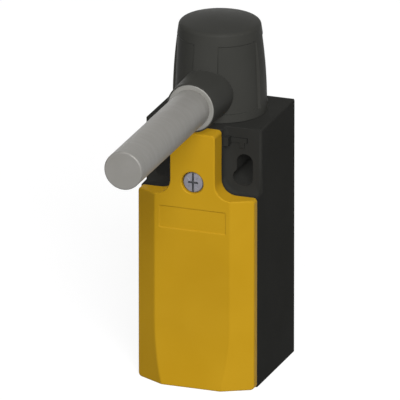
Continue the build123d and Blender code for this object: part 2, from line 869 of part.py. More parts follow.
export_step(contact_front.part, "parts/contact_front.step")

with BuildPart() as plunger_seal:
    add(
        upright_ring(
            slider_stem_radius + running_gap,
            lip_seal_radius,
            neck_top - lip_seal_height,
            neck_top,
        )
    )
plunger_seal.part.label = "plunger_seal"
export_step(plunger_seal.part, "parts/plunger_seal.step")

# Contact plunger: round stem above, and a square slider with a window for each bridge
with BuildPart() as contact_plunger:
    add(upright_ring(0, slider_stem_radius, slider_body_top, slider_top))
    with BuildSketch(Plane.XY.offset(slider_body_top - slider_length)):
        with Locations((0, -head_depth)):
            Rectangle(slider_width, slider_depth)
    extrude(amount=slider_length)
    with BuildSketch(Plane.YZ):
        for level in (nc_bridge_top, no_bridge_top):
            with Locations((-head_depth, level - bridge_thickness / 2)):
                Rectangle(bridge_depth, bridge_thickness)
    extrude(amount=slider_width, both=True, mode=Mode.SUBTRACT)
contact_plunger.part.label = "contact_plunger"
export_step(contact_plunger.part, "parts/contact_plunger.step")


def contact_bridge(bridge_top, tips_start):
    """A moving bridge with a round contact tip near each end, on the side of its strips."""
    with BuildPart() as bridge:
        with BuildSketch(Plane.XY.offset(bridge_top - bridge_thickness)):
            with Locations((0, -head_depth)):
                Rectangle(bridge_width, bridge_depth)
        extrude(amount=bridge_thickness)
        with BuildSketch(Plane.XY.offset(tips_start)):
            with Locations((-terminal_offset, -head_depth), (terminal_offset, -head_depth)):
                Circle(tip_radius)
        extrude(amount=tip_height)
    return bridge.part


with BuildPart() as bridge_nc:
    add(contact_bridge(nc_bridge_top, nc_bridge_top))
bridge_nc.part.label = "bridge_nc"
export_step(bridge_nc.part, "parts/bridge_nc.step")

with BuildPart() as bridge_no:
    add(contact_bridge(no_bridge_top, no_bridge_top - bridge_thickness - tip_height))
bridge_no.part.label = "bridge_no"
export_step(bridge_no.part, "parts/bridge_no.step")


def contact_strips(strip_low, plate_low, screw_level):
    """The left and right fixed contacts of one bridge: a strip with its terminal plate."""
    with BuildPart() as strips:
        with BuildSketch(Plane.XZ.offset(strip_inner_depth)):
            for x in (-terminal_offset, terminal_offset):
                with Locations((x, strip_low + strip_thickness / 2)):
                    Rectangle(strip_width, strip_thickness)
        extrude(amount=block_front_depth - strip_inner_depth)
        with BuildSketch(Plane.XZ.offset(block_front_depth)):
            for x in (-terminal_offset, terminal_offset):
                with Locations((x, plate_low + terminal_height / 2)):
                    Rectangle(terminal_width, terminal_height)
                with Locations((x, screw_level)):
                    Circle(terminal_screw_radius, mode=Mode.SUBTRACT)
        extrude(amount=strip_thickness)
    return strips.part


with BuildPart() as fixed_contacts_nc:
    add(contact_strips(nc_strip_low, nc_strip_low, nc_screw_level))
fixed_contacts_nc.part.label = "fixed_contacts_nc"
export_step(fixed_contacts_nc.part, "parts/fixed_contacts_nc.step")

with BuildPart() as fixed_contacts_no:
    plate_low = no_strip_low + strip_thickness - terminal_height
    add(contact_strips(no_strip_low, plate_low, no_screw_level))
fixed_contacts_no.part.label = "fixed_contacts_no"
export_step(fixed_contacts_no.part, "parts/fixed_contacts_no.step")

# Four terminal screws and the clamp plates below their heads
terminal_places = [
    (x, level)
    for x in (-terminal_offset, terminal_offset)
    for level in (nc_screw_level, no_screw_level)
]
with BuildPart() as terminal_clamps:
    with BuildSketch(Plane.XZ.offset(terminal_face_depth)):
        with Locations(*terminal_places):
            Rectangle(terminal_width - rib_width / 2, terminal_width - rib_width / 2)
            Circle(terminal_screw_radius, mode=Mode.SUBTRACT)
    extrude(amount=clamp_thickness)
terminal_clamps.part.label = "terminal_clamps"
export_step(terminal_clamps.part, "parts/terminal_clamps.step")

with BuildPart() as terminal_screws:
    with BuildSketch(Plane.XZ.offset(terminal_face_depth - terminal_screw_reach)):
        with Locations(*terminal_places):
            Circle(terminal_screw_radius)
    extrude(amount=terminal_screw_reach + clamp_thickness)
    with BuildSketch(Plane.XZ.offset(terminal_face_depth + clamp_thickness)):
        with Locations(*terminal_places):
            Circle(terminal_head_radius)
    extrude(amount=terminal_head_height)
    slot_floor = terminal_face_depth + clamp_thickness + terminal_head_height / 2
    with BuildSketch(Plane.XZ.offset(slot_floor)):
        with Locations(*terminal_places):
            Rectangle(2 * terminal_head_radius, screw_slot_width)
    extrude(amount=terminal_head_height, mode=Mode.SUBTRACT)
terminal_screws.part.label = "terminal_screws"
export_step(terminal_screws.part, "parts/terminal_screws.step")

with BuildPart() as contact_spring:
    add(
        coil_spring(
            contact_spring_radius,
            contact_spring_wire,
            contact_spring_turns,
            chamber_bottom + seat_gap,
            slider_body_top - slider_length - seat_gap,
        )
    )
contact_spring.part.label = "contact_spring"
export_step(contact_spring.part, "parts/contact_spring.step")
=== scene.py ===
import bpy
import bmesh
import json
import math
from mathutils import Matrix, Vector


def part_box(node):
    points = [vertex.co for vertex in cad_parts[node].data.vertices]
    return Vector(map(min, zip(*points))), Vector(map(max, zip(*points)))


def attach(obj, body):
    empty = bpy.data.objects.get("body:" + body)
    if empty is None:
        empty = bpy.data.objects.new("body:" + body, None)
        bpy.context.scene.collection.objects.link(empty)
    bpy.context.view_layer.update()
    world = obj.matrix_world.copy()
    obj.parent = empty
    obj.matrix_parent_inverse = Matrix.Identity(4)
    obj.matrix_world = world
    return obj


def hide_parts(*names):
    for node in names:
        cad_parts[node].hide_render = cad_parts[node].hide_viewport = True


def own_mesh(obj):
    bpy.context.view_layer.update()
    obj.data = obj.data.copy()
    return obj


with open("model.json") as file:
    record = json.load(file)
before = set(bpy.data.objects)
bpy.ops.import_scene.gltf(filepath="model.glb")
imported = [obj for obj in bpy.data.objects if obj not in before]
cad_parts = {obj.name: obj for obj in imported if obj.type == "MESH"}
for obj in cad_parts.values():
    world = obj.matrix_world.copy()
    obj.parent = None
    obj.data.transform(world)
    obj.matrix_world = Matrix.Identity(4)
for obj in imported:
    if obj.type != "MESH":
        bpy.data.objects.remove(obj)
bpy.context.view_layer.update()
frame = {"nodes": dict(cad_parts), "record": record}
mm = 0.001
nodes = frame["nodes"]
print("frame loaded,", len(nodes), "pieces")

# the switch stands on its lower end, its front and its shaft point along -Y
headAxis = Vector((0, -13.0, 0)) * mm
shaftHeight = 20.3 * mm


# ---- shared effects ----

def newGroup(name, inputs, outputs):
    group = bpy.data.node_groups.new(name, "ShaderNodeTree")
    for label, kind, value in inputs:
        socket = group.interface.new_socket(label, in_out="INPUT", socket_type=kind)
        if value is not None:
            socket.default_value = value
    for label, kind in outputs:
        group.interface.new_socket(label, in_out="OUTPUT", socket_type=kind)
    enter = group.nodes.new("NodeGroupInput")
    leave = group.nodes.new("NodeGroupOutput")
    return group, enter, leave


def addNode(tree, kind, settings=None, **links):
    # a node with its settings, and each named input given a value or another node's output
    node = tree.nodes.new(kind)
    for key, value in (settings or {}).items():
        setattr(node, key, value)
    for key, value in links.items():
        place = int(key[1:]) if key[0] == "i" and key[1:].isdigit() else key.replace("_", " ")
        socket = node.inputs[place]
        if isinstance(value, bpy.types.NodeSocket):
            tree.links.new(value, socket)
        else:
            socket.default_value = value
    return node


def mathNode(tree, operation, a, b=0.0, clamp=False):
    return addNode(tree, "ShaderNodeMath", {"operation": operation, "use_clamp": clamp}, i0=a, i1=b).outputs[0]


def buildMouldedGrain():
    # skin of a moulded part: a fine spark grain over a slow unevenness
    group, enter, leave = newGroup(
        "mouldedGrain",
        [("Vector", "NodeSocketVector", None), ("Grain", "NodeSocketFloat", 2500.0),
         ("Depth", "NodeSocketFloat", 0.02), ("Waves", "NodeSocketFloat", 60.0)],
        [("Mask", "NodeSocketFloat"), ("Slow", "NodeSocketFloat"), ("Height", "NodeSocketFloat")],
    )
    fine = addNode(group, "ShaderNodeTexNoise", Vector=enter.outputs["Vector"],
                   Scale=enter.outputs["Grain"], Detail=3.0, Roughness=0.6)
    slow = addNode(group, "ShaderNodeTexNoise", Vector=enter.outputs["Vector"],
                   Scale=enter.outputs["Waves"], Detail=2.0, Roughness=0.5)
    height = mathNode(group, "MULTIPLY", fine.outputs["Fac"], enter.outputs["Depth"])
    group.links.new(fine.outputs["Fac"], leave.inputs["Mask"])
    group.links.new(slow.outputs["Fac"], leave.inputs["Slow"])
    group.links.new(height, leave.inputs["Height"])
    return group


def buildEdgeWear():
    # mask that is high on outer edges, broken up by noise
    group, enter, leave = newGroup(
        "edgeWear",
        [("Vector", "NodeSocketVector", None), ("Width", "NodeSocketFloat", 0.0004),
         ("Breakup", "NodeSocketFloat", 900.0), ("Amount", "NodeSocketFloat", 0.5)],
        [("Mask", "NodeSocketFloat"), ("Normal", "NodeSocketVector")],
    )
    soft = addNode(group, "ShaderNodeBevel", {"samples": 6}, Radius=enter.outputs["Width"])
    plain = addNode(group, "ShaderNodeNewGeometry")
    turn = addNode(group, "ShaderNodeVectorMath", {"operation": "DOT_PRODUCT"},
                   i0=soft.outputs[0], i1=plain.outputs["Normal"])
    edge = addNode(group, "ShaderNodeMapRange", i0=turn.outputs["Value"],
                   From_Min=0.985, From_Max=0.86, To_Min=0.0, To_Max=1.0)
    breakup = addNode(group, "ShaderNodeTexNoise", Vector=enter.outputs["Vector"],
                      Scale=enter.outputs["Breakup"], Detail=4.0, Roughness=0.65)
    patchy = addNode(group, "ShaderNodeMapRange", i0=breakup.outputs["Fac"],
                     From_Min=0.38, From_Max=0.66, To_Min=0.15, To_Max=1.0)
    worn = mathNode(group, "MULTIPLY", edge.outputs[0], patchy.outputs[0])
    worn = mathNode(group, "MULTIPLY", worn, enter.outputs["Amount"], clamp=True)
    group.links.new(worn, leave.inputs["Mask"])
    group.links.new(soft.outputs[0], leave.inputs["Normal"])
    return group


def buildDust():
    # thin dust and finger marks: large soft patches with fine specks in them
    group, enter, leave = newGroup(
        "dust",
        [("Vector", "NodeSocketVector", None), ("Patches", "NodeSocketFloat", 45.0),
         ("Specks", "NodeSocketFloat", 1400.0), ("Amount", "NodeSocketFloat", 0.2)],
        [("Mask", "NodeSocketFloat")],
    )
    patches = addNode(group, "ShaderNodeTexNoise", Vector=enter.outputs["Vector"],
                      Scale=enter.outputs["Patches"], Detail=5.0, Roughness=0.6, Distortion=0.4)
    specks = addNode(group, "ShaderNodeTexVoronoi", Vector=enter.outputs["Vector"],
                     Scale=enter.outputs["Specks"])
    soft = addNode(group, "ShaderNodeMapRange", i0=patches.outputs["Fac"], From_Min=0.42, From_Max=0.72)
    dots = addNode(group, "ShaderNodeMapRange", i0=specks.outputs["Distance"], From_Min=0.22, From_Max=0.05,
                   To_Min=0.35, To_Max=1.0)
    mask = mathNode(group, "MULTIPLY", soft.outputs[0], dots.outputs[0])
    mask = mathNode(group, "MULTIPLY", mask, enter.outputs["Amount"], clamp=True)
    group.links.new(mask, leave.inputs["Mask"])
    return group


def buildTurnedLines():
    # the fine rings that a lathe or grinding wheel leaves across a shaft's length
    group, enter, leave = newGroup(
        "turnedLines",
        [("Vector", "NodeSocketVector", None), ("Lines", "NodeSocketFloat", 4000.0),
         ("Wander", "NodeSocketFloat", 120.0)],
        [("Lines", "NodeSocketFloat"), ("Streaks", "NodeSocketFloat")],
    )
    parts = addNode(group, "ShaderNodeSeparateXYZ", Vector=enter.outputs["Vector"])
    along = addNode(group, "ShaderNodeCombineXYZ", X=0.0, Y=parts.outputs["Y"], Z=0.0)
    lines = addNode(group, "ShaderNodeTexNoise", {"noise_dimensions": "3D"}, Vector=along.outputs[0],
                    Scale=enter.outputs["Lines"], Detail=2.0, Roughness=0.7)
    stretch = addNode(group, "ShaderNodeVectorMath", {"operation": "MULTIPLY"},
                      i0=enter.outputs["Vector"], i1=(1.0, 6.0, 1.0))
    streaks = addNode(group, "ShaderNodeTexNoise", Vector=stretch.outputs[0],
                      Scale=enter.outputs["Wander"], Detail=4.0, Roughness=0.6)
    group.links.new(lines.outputs["Fac"], leave.inputs["Lines"])
    group.links.new(streaks.outputs["Fac"], leave.inputs["Streaks"])
    return group


mouldedGrain = buildMouldedGrain()
edgeWear = buildEdgeWear()
dust = buildDust()
turnedLines = buildTurnedLines()
print("shared effects built")


# ---- materials ----

def srgb(*rgb):
    # a colour as read from the photograph, 0 to 255, made linear
    return tuple((c / 255 / 12.92 if c / 255 <= 0.04045 else ((c / 255 + 0.055) / 1.055) ** 2.4) for c in rgb) + (1.0,)


def newMaterial(name):
    material = bpy.data.materials.new(name)
    material.use_nodes = True
    tree = material.node_tree
    return material, tree, tree.nodes["Principled BSDF"]


def mixColour(tree, factor, a, b, blend="MIX"):
    node = addNode(tree, "ShaderNodeMix", {"data_type": "RGBA", "blend_type": blend})
    for socket, value in ((node.inputs[0], factor), (node.inputs[6], a), (node.inputs[7], b)):
        if isinstance(value, bpy.types.NodeSocket):
            tree.links.new(value, socket)
        else:
            socket.default_value = value
    return node.outputs[2]


def groupNode(tree, group, **values):
    return addNode(tree, "ShaderNodeGroup", {"node_tree": group}, **values)


def mouldedPlastic(name, look):
    material, tree, shader = newMaterial(name)
    place = addNode(tree, "ShaderNodeTexCoord").outputs["Object"]
    grain = groupNode(tree, mouldedGrain, Vector=place, Grain=look["grain"], Depth=look["depth"],
                      Waves=look["waves"])
    wear = groupNode(tree, edgeWear, Vector=place, Width=look["edgeWidth"] * mm, Breakup=900.0,
                     Amount=look["wear"])
    dirt = groupNode(tree, dust, Vector=place, Patches=45.0, Specks=1400.0, Amount=look["dust"])
    flow = addNode(tree, "ShaderNodeMapRange", i0=grain.outputs["Slow"], From_Min=0.3, From_Max=0.7)
    base = mixColour(tree, flow.outputs[0], look["colour"], look["deepColour"])
    base = mixColour(tree, wear.outputs["Mask"], base, look["wornColour"])
    base = mixColour(tree, dirt.outputs["Mask"], base, look["dustColour"])
    tree.links.new(base, shader.inputs["Base Color"])
    rough = addNode(tree, "ShaderNodeMapRange", i0=grain.outputs["Mask"], From_Min=0.3, From_Max=0.7,
                    To_Min=look["roughness"] - look["roughSpread"], To_Max=look["roughness"] + look["roughSpread"])
    rough = mathNode(tree, "ADD", rough.outputs[0], mathNode(tree, "MULTIPLY", dirt.outputs["Mask"], 0.3), clamp=True)
    tree.links.new(rough, shader.inputs["Roughness"])
    bump = addNode(tree, "ShaderNodeBump", Strength=look["bump"], Distance=mm,
                   Height=grain.outputs["Height"], Normal=wear.outputs["Normal"])
    tree.links.new(bump.outputs[0], shader.inputs["Normal"])
    shader.inputs["Specular IOR Level"].default_value = look["gloss"]
    return material


def metalMaterial(name, look):
    material, tree, shader = newMaterial(name)
    place = addNode(tree, "ShaderNodeTexCoord").outputs["Object"]
    lines = groupNode(tree, turnedLines, Vector=place, Lines=look["lines"], Wander=look["wander"])
    wear = groupNode(tree, edgeWear, Vector=place, Width=look["edgeWidth"] * mm, Breakup=700.0,
                     Amount=look["wear"])
    dirt = groupNode(tree, dust, Vector=place, Patches=60.0, Specks=1600.0, Amount=look["dust"])
    tone = addNode(tree, "ShaderNodeMapRange", i0=lines.outputs["Streaks"], From_Min=0.3, From_Max=0.7)
    base = mixColour(tree, tone.outputs[0], look["colour"], look["deepColour"])
    base = mixColour(tree, wear.outputs["Mask"], base, look["wornColour"])
    base = mixColour(tree, dirt.outputs["Mask"], base, look["dustColour"])
    if "slotShade" in look:   # painted shade in the slots: darker below the screw's face
        high, low = look["slotShade"]
        depth = addNode(tree, "ShaderNodeSeparateXYZ", Vector=place).outputs["Y"]
        slotShade = addNode(tree, "ShaderNodeMapRange", i0=depth, From_Min=-high * mm, From_Max=-low * mm)
        base = mixColour(tree, slotShade.outputs[0], base, look["slotShadeColour"])
    tree.links.new(base, shader.inputs["Base Color"])
    rough = addNode(tree, "ShaderNodeMapRange", i0=lines.outputs["Lines"], From_Min=0.3, From_Max=0.7,
                    To_Min=look["roughness"] - look["roughSpread"], To_Max=look["roughness"] + look["roughSpread"])
    rough = mathNode(tree, "ADD", rough.outputs[0], mathNode(tree, "MULTIPLY", dirt.outputs["Mask"], 0.3), clamp=True)
    tree.links.new(rough, shader.inputs["Roughness"])
    bump = addNode(tree, "ShaderNodeBump", Strength=look["bump"], Distance=0.1 * mm,
                   Height=lines.outputs["Lines"], Normal=wear.outputs["Normal"])
    tree.links.new(bump.outputs[0], shader.inputs["Normal"])
    shader.inputs["Metallic"].default_value = look["metallic"]
    return material


yellowLook = dict(
    colour=srgb(188, 146, 30), deepColour=srgb(183, 141, 26), wornColour=srgb(216, 182, 84),
    dustColour=srgb(190, 158, 84), grain=1900.0, depth=0.03, waves=70.0, roughness=0.46,
    roughSpread=0.05, bump=0.2, gloss=0.05, edgeWidth=0.35, wear=0.12, dust=0.06,
)
blackLook = dict(
    colour=srgb(48, 48, 46), deepColour=srgb(45, 45, 43), wornColour=srgb(60, 60, 57),
    dustColour=srgb(62, 61, 57), grain=1500.0, depth=0.04, waves=80.0, roughness=0.55,
    roughSpread=0.05, bump=0.12, gloss=0.002, edgeWidth=0.1, wear=0.1, dust=0.05,
)
turretLook = dict(
    colour=srgb(61, 61, 58), deepColour=srgb(57, 57, 54), wornColour=srgb(72, 72, 68),
    dustColour=srgb(64, 63, 59), grain=1500.0, depth=0.04, waves=80.0, roughness=0.4,
    roughSpread=0.03, bump=0.1, gloss=0.015, edgeWidth=0.03, wear=0.05, dust=0.04,
)
rubberLook = dict(
    colour=srgb(30, 30, 30), deepColour=srgb(24, 24, 25), wornColour=srgb(52, 52, 52),
    dustColour=srgb(96, 94, 90), grain=2600.0, depth=0.04, waves=120.0, roughness=0.75,
    roughSpread=0.08, bump=0.3, gloss=0.25, edgeWidth=0.2, wear=0.2, dust=0.2,
)
innerLook = dict(
    colour=srgb(206, 202, 190), deepColour=srgb(196, 191, 178), wornColour=srgb(224, 222, 214),
    dustColour=srgb(150, 145, 134), grain=2200.0, depth=0.02, waves=100.0, roughness=0.45,
    roughSpread=0.05, bump=0.2, gloss=0.4, edgeWidth=0.2, wear=0.2, dust=0.08,
)
blockLook = dict(
    colour=srgb(62, 64, 68), deepColour=srgb(54, 56, 60), wornColour=srgb(96, 98, 102),
    dustColour=srgb(120, 118, 112), grain=1800.0, depth=0.03, waves=90.0, roughness=0.5,
    roughSpread=0.05, bump=0.25, gloss=0.35, edgeWidth=0.25, wear=0.25, dust=0.1,
)
steelLook = dict(
    colour=srgb(137, 135, 131), deepColour=srgb(130, 128, 123), wornColour=srgb(166, 166, 162),
    dustColour=srgb(122, 119, 112), lines=5200.0, wander=140.0, roughness=0.5, roughSpread=0.05,
    bump=0.1, edgeWidth=0.3, wear=0.4, dust=0.1, metallic=0.18,
)
bushLook = dict(
    colour=srgb(140, 139, 135), deepColour=srgb(132, 131, 126), wornColour=srgb(170, 169, 164),
    dustColour=srgb(124, 120, 110), lines=3600.0, wander=300.0, roughness=0.55, roughSpread=0.06,
    bump=0.2, edgeWidth=0.2, wear=0.4, dust=0.12, metallic=0.18,
)
zincLook = dict(
    colour=srgb(134, 133, 141), deepColour=srgb(125, 124, 132), wornColour=srgb(176, 178, 190),
    dustColour=srgb(118, 116, 116), lines=2600.0, wander=500.0, roughness=0.48, roughSpread=0.08,
    bump=0.2, edgeWidth=0.15, wear=0.5, dust=0.12, metallic=0.25,
)
# the screw's zinc, with painted shade darkening its slots below the face
screwLook = dict(zincLook, slotShade=(32.82, 32.6), slotShadeColour=srgb(84, 85, 89), wear=0.3)
camLook = dict(
    colour=srgb(120, 118, 114), deepColour=srgb(110, 108, 104), wornColour=srgb(170, 168, 164),
    dustColour=srgb(96, 90, 80), lines=2400.0, wander=260.0, roughness=0.4, roughSpread=0.08,
    bump=0.3, edgeWidth=0.2, wear=0.5, dust=0.1, metallic=1.0,
)
brassLook = dict(
    colour=srgb(190, 158, 92), deepColour=srgb(176, 142, 78), wornColour=srgb(214, 186, 126),
    dustColour=srgb(120, 104, 76), lines=2400.0, wander=260.0, roughness=0.32, roughSpread=0.06,
    bump=0.2, edgeWidth=0.2, wear=0.5, dust=0.1, metallic=1.0,
)

finishes = {
    "yellow_plastic": mouldedPlastic("yellowCoverPlastic", yellowLook),
    "black_plastic": mouldedPlastic("blackBodyPlastic", blackLook),
    "turret": mouldedPlastic("turretPlastic", turretLook),
    "rubber": mouldedPlastic("sealRubber", rubberLook),
    "inner_plastic": mouldedPlastic("plungerPlastic", innerLook),
    "block_plastic": mouldedPlastic("contactBlockPlastic", blockLook),
    "steel": metalMaterial("groundSteel", steelLook),
    "bush_metal": metalMaterial("sinteredBush", bushLook),
    "zinc": metalMaterial("zincPlate", zincLook),
    "screw": metalMaterial("zincScrewPlate", screwLook),
    "cam_metal": metalMaterial("hardCamSteel", camLook),
    "brass": metalMaterial("contactBrass", brassLook),
}
slotOf = {part["node"]: part["material_slot"] for part in frame["record"]["subparts"]}


def finish(obj, look):
    obj.data.materials.clear()
    obj.data.materials.append(finishes[look])


for name, obj in nodes.items():
    for place in range(len(obj.material_slots)):
        obj.material_slots[place].material = finishes["turret" if name == "turret" else slotOf[name]]
print("materials built:", len(finishes))


# ---- tools for the pieces ----

def toObject(bm, name):
    mesh = bpy.data.meshes.new(name)
    bm.to_mesh(mesh)
    bm.free()
    piece = bpy.data.objects.new(name, mesh)
    bpy.context.scene.collection.objects.link(piece)
    return piece


weld = 0.004   # points this near are one point, in mm


def combine(piece, other, operation):
    # joins another shape to the piece or cuts it out, and keeps only the result
    step = piece.modifiers.new("combine", "BOOLEAN")
    step.object = other
    step.operation = operation
    step.solver = "EXACT"
    bpy.context.view_layer.update()
    made = bpy.data.meshes.new_from_object(piece.evaluated_get(bpy.context.evaluated_depsgraph_get()))
    piece.modifiers.remove(step)
    bm = bmesh.new()
    bm.from_mesh(made)
    bmesh.ops.remove_doubles(bm, verts=bm.verts, dist=weld * mm)
    bmesh.ops.dissolve_degenerate(bm, edges=bm.edges, dist=weld * mm)
    bm.to_mesh(made)
    bm.free()
    piece.data = made
    bpy.data.objects.remove(other)


def smooth(piece, degrees):
    for face in piece.data.polygons:
        face.use_smooth = True
    piece.data.set_sharp_from_angle(angle=math.radians(degrees))


def settle(piece, node, body, look, degrees=32):
    # shading, finish and place in the model
    smooth(piece, degrees)
    weigh = piece.modifiers.new("evenFaces", "WEIGHTED_NORMAL")
    weigh.keep_sharp = True
    finish(piece, look)
    if node:
        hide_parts(node)
    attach(piece, body)


def turned(bm, profile, centre, axis, across, steps):
    # a closed or open line of (radius, height) points spun once round an axis
    line = [bm.verts.new(centre + across * r * mm + axis * h * mm) for r, h in profile]
    edges = [bm.edges.new((a, b)) for a, b in zip(line, line[1:])]
    bmesh.ops.spin(bm, geom=line + edges, cent=centre, axis=axis, dvec=(0, 0, 0),
                   angle=2 * math.pi, steps=steps, use_merge=True, use_duplicate=False)
    bmesh.ops.remove_doubles(bm, verts=bm.verts, dist=0.001 * mm)
    bmesh.ops.recalc_face_normals(bm, faces=bm.faces)


def turnedShape(name, profile, centre, axis, across, steps=96):
    bm = bmesh.new()
    turned(bm, profile, centre, axis, across, steps)
    return toObject(bm, name)


def wound(name, profile, centre, pitch, turns, stepsPerTurn):
    # a closed (radius, height) outline wound upwards as a screw, with both ends filled
    bm = bmesh.new()
    line = [bm.verts.new(centre + front * r * mm + up * h * mm) for r, h in profile]
    edges = [bm.edges.new((a, b)) for a, b in zip(line, line[1:] + line[:1])]
    bmesh.ops.spin(bm, geom=line + edges, cent=centre, axis=up, dvec=up * pitch / stepsPerTurn * mm,
                   angle=2 * math.pi * turns, steps=turns * stepsPerTurn, use_merge=False, use_duplicate=False)
    bmesh.ops.holes_fill(bm, edges=[b for b in bm.edges if len(b.link_faces) == 1], sides=len(profile) + 1)
    bmesh.ops.recalc_face_normals(bm, faces=bm.faces)
    return toObject(bm, name)


def roundEdges(bm, edges, size, segments):
    return bmesh.ops.bevel(bm, geom=edges, offset=size * mm, offset_type="OFFSET", segments=segments,
                           profile=0.5, affect="EDGES", material=-1, clamp_overlap=False)


def sharpEdges(bm, degrees, keep):
    return [e for e in bm.edges if len(e.link_faces) == 2 and e.calc_face_angle() > math.radians(degrees) and keep(e)]


up = Vector((0, 0, 1))
right = Vector((1, 0, 0))
front = Vector((0, -1, 0))
shaftStart = Vector((0, 0, shaftHeight))   # on the mounting face, depths count forwards from here


# ---- turret ----

turretSize = dict(
    base=13.25, spigotRadius=8.5, spigotBore=6.2, spigotEnd=7.85, grooveRadius=7.25, groove=(9.1, 10.6),
    boreRadius=8.9, roof=34.3, radius=12.0, ringTop=15.45, flankRadius=130.0, domeBase=36.4, domeTop=37.5,
    rimRadius=1.0, steps=240,   # one step is 1.5 degrees
    recessRadius=10.62, recessFoot=11.4, recessTop=33.2, frontRib=16.5, sideRib=78.0, slope=0.35,
    ribEdge=0.12, floorEdge=0.1,
    collar=((0, 19.0), (6.9, 19.0), (6.45, 34.1), (6.3, 34.5), (0, 34.5)), collarEdge=0.25,
    collarBore=((0, 18.0), (4.9, 18.0), (4.9, 25.1), (6.15, 25.1), (6.15, 36.0), (0, 36.0)),
    boss=((0, 3.7), (5.0, 3.7), (5.0, 8.3), (0, 8.3)), bossBore=((0, 4.68), (4.1, 4.68), (4.1, 9.0), (0, 9.0)),
)


def flankAt(height):
    t = turretSize
    return t["radius"] - (height - t["ringTop"]) ** 2 / (2 * t["flankRadius"])


def azimuthOf(point):
    # 0 to 90 degrees away from the front or the back
    turn = abs(math.degrees(math.atan2(point.x - headAxis.x, -(point.y - headAxis.y))))
    return min(turn, 180 - turn)


def radiusOf(point):
    return math.hypot(point.x - headAxis.x, point.y - headAxis.y) / mm


def buildTurret():
    t = turretSize
    low, high = t["groove"]
    rows = [t["ringTop"] + (t["recessTop"] - t["ringTop"]) * i / 8 for i in range(9)] + [34.4, 35.5]
    profile = [
        (0, t["roof"]), (t["boreRadius"], t["roof"]), (t["boreRadius"], t["base"] + 2.8),
        (t["spigotBore"], t["base"] + 0.1), (t["spigotBore"], t["spigotEnd"]), (t["spigotRadius"], t["spigotEnd"]),
        (t["spigotRadius"], low), (t["grooveRadius"], low), (t["grooveRadius"], high), (t["spigotRadius"], high),
        (t["spigotRadius"], t["base"]), (t["radius"] - 0.2, t["base"]), (t["radius"], t["base"] + 0.2),
    ]
    profile += [(flankAt(h), h) for h in rows]
    rim = flankAt(t["domeBase"])
    for row in range(9):   # the top swells gently to its middle
        r = rim * (1 - row / 8)
        profile.append((r, t["domeTop"] - (t["domeTop"] - t["domeBase"]) * (r / rim) ** 2))
    bm = bmesh.new()
    turned(bm, profile, headAxis, up, front, t["steps"])
    # recesses: the flank's faces between the ribs are inset and pushed inwards
    floor = [
        f for f in bm.faces
        if all(t["ringTop"] - 0.01 < v.co.z / mm < t["recessTop"] + 0.01 and radiusOf(v.co) > 10.6 for v in f.verts)
        and t["frontRib"] < azimuthOf(f.calc_center_median()) < t["sideRib"]
    ]
    walls = bmesh.ops.inset_region(bm, faces=floor, thickness=t["slope"] * mm, depth=0,
                                   use_even_offset=True, use_boundary=True)["faces"]
    for v in set(v for f in floor for v in f.verts):
        rise = (v.co.z / mm - t["ringTop"]) / (t["recessTop"] - t["ringTop"])
        scale = (t["recessFoot"] + (t["recessRadius"] - t["recessFoot"]) * rise) / radiusOf(v.co)
        v.co.x = headAxis.x + (v.co.x - headAxis.x) * scale
        v.co.y = headAxis.y + (v.co.y - headAxis.y) * scale
        if v.co.z / mm < t["ringTop"] + t["slope"] + 0.1:
            v.co.z = (t["ringTop"] + 0.06) * mm
    wallSet, floorSet = set(walls), set(floor)
    lip, foot = [], []
    for f in walls:
        for e in f.edges:
            others = [g for g in e.link_faces if g not in wallSet]
            if others:
                (foot if others[0] in floorSet else lip).append(e)
    # the narrow ledge on the ring stays crisp, all other recess edges are rounded
    ledge = (t["ringTop"] + 0.1) * mm
    roundEdges(bm, [e for e in foot if max(v.co.z for v in e.verts) > ledge], t["floorEdge"], 2)
    lip = [e for e in lip if e.is_valid and max(v.co.z for v in e.verts) > ledge]
    roundEdges(bm, lip, t["ribEdge"], 3)
    brim = [e for e in bm.edges if all(abs(v.co.z / mm - t["domeBase"]) < 0.01 and radiusOf(v.co) > 10 for v in e.verts)]
    roundEdges(bm, brim, t["rimRadius"] * 0.77, 6)
    turretPiece = toObject(bm, "turretShell")
    combine(turretPiece, turnedShape("collar", t["collar"], shaftStart, front, up, 120), "UNION")
    combine(turretPiece, turnedShape("boss", t["boss"], shaftStart, front, up), "UNION")
    combine(turretPiece, turnedShape("collarBore", t["collarBore"], shaftStart, front, up, 120), "DIFFERENCE")
    combine(turretPiece, turnedShape("bossBore", t["bossBore"], shaftStart, front, up), "DIFFERENCE")
    settle(turretPiece, "turret", "head", "turret")
    return turretPiece


buildTurret()
print("turret built")


# ---- cover ----

coverSize = dict(
    width=31.0, bottom=-54.5, shoulder=-3.8, top=13.2, tongue=12.0, neckRadius=4.0, cornerRadius=1.0,
    parting=28.3, front=33.4, bulge=1.2, bulgeStart=-37.5, bulgeRows=9, flat=20.2, facetSlope=0.546,
    edge=0.3, screwHole=((0, 34.6), (3.9, 34.6), (2.9, 33.2), (2.9, 30.1), (1.85, 30.1), (1.85, 27.0), (0, 27.0)),
    panel=(17.7, 5.8), panelHeight=-9.8, panelDepth=0.15, panelCorner=0.3,
)


